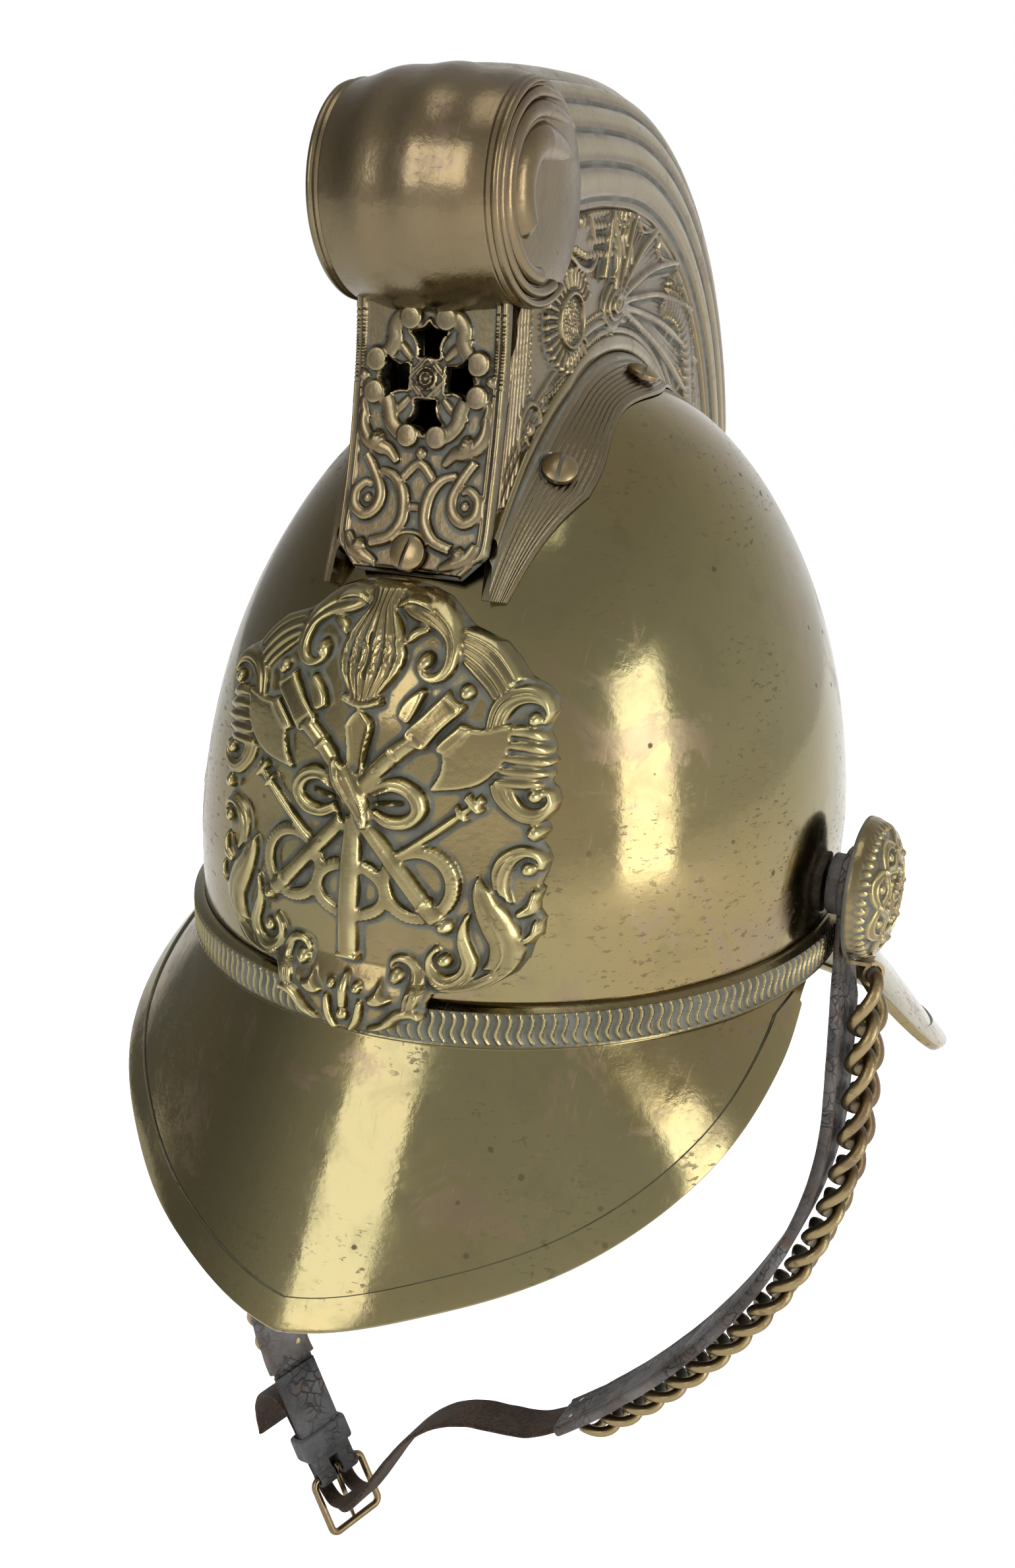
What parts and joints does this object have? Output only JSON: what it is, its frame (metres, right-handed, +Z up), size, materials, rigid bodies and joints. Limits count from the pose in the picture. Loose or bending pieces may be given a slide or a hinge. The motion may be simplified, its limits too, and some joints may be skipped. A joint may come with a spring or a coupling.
{
  "type": "firefighter helmet",
  "caption": "Brass firefighter helmet with a crested comb, embossed front badge, peak, neck guard and a buckled chin chain.",
  "frame": {"origin": "centre of the skull's base oval, level with the lower edge of the base band, where the helmet sits round the head", "axes": "-Y to the front, +X to the wearer's left, +Z up through the crown"},
  "size_m": [0.2362, 0.305, 0.4805],
  "materials": {
    "brass_shell": "aged sheet brass, worn bright on the high places, with tarnish blotches and fine scratches",
    "brass_relief": "stamped brass with dull grey-green recesses and rubbed bright lobes",
    "brass_comb": "dull brown patinated brass with brighter ridges",
    "brass_chain": "aged twisted brass wire",
    "brass_fittings": "turned and cast brass",
    "strap_leather": "old grey-black leather, cracked, with brown spots",
    "liner_leather": "plain brown leather",
    "suede": "dark brown fuzzy suede",
    "cork": "plain cork blocks"
  },
  "bodies": {
    "helmet": {"skull": "brass_shell", "base_band": "brass_relief", "front_peak": "brass_shell", "peak_binding": "brass_shell", "neck_guard": "brass_shell", "guard_binding": "brass_shell", "badge": "brass_relief", "badge_studs": "brass_fittings", "badge_nuts": "brass_fittings", "comb_left": "brass_comb", "comb_right": "brass_comb", "comb_front_plate": "brass_relief", "comb_roll": "brass_comb", "comb_screws": "brass_fittings", "comb_nuts": "brass_fittings", "front_screw": "brass_fittings", "rosette_left": "brass_relief", "rosette_right": "brass_relief", "rosette_studs": "brass_fittings", "rosette_nuts": "brass_fittings", "leather_washers": "strap_leather", "headband": "liner_leather", "liner_tongues": "liner_leather", "cork_spacers": "cork"},
    "chin_strap": {"backing_left": "strap_leather", "backing_right": "strap_leather", "chain_left": "brass_chain", "chain_right": "brass_chain", "chain_hangers": "brass_fittings", "suede_strap": "suede", "strap_rivets": "brass_fittings", "buckle_loop": "strap_leather"},
    "buckle": {"buckle_frame": "brass_fittings"},
    "prong": {"buckle_prong": "brass_fittings"},
    "keeper": {"keeper": "strap_leather"}
  },
  "joints": [
    {"name": "chin_strap_swing", "type": "hinge", "parent": "helmet", "child": "chin_strap", "pos_m": [0, 0.0054, 0.0207], "axis": [-1, 0, 0], "range_deg": [0, 100]},
    {"name": "buckle_turn", "type": "hinge", "parent": "chin_strap", "child": "buckle", "pos_m": [-0.06784, 0.0054, -0.23087], "axis": [0.381, 0.9063, 0.1828], "range_deg": [-6, 6]},
    {"name": "prong_lift", "type": "hinge", "parent": "buckle", "child": "prong", "pos_m": [-0.06784, 0.0054, -0.23087], "axis": [0.381, 0.9063, 0.1828], "range_deg": [0, 20]},
    {"name": "keeper_slide", "type": "slide", "parent": "chin_strap", "child": "keeper", "axis": [0.4325, 0, -0.9016], "range_m": [-0.003, 0.003]}
  ]
}
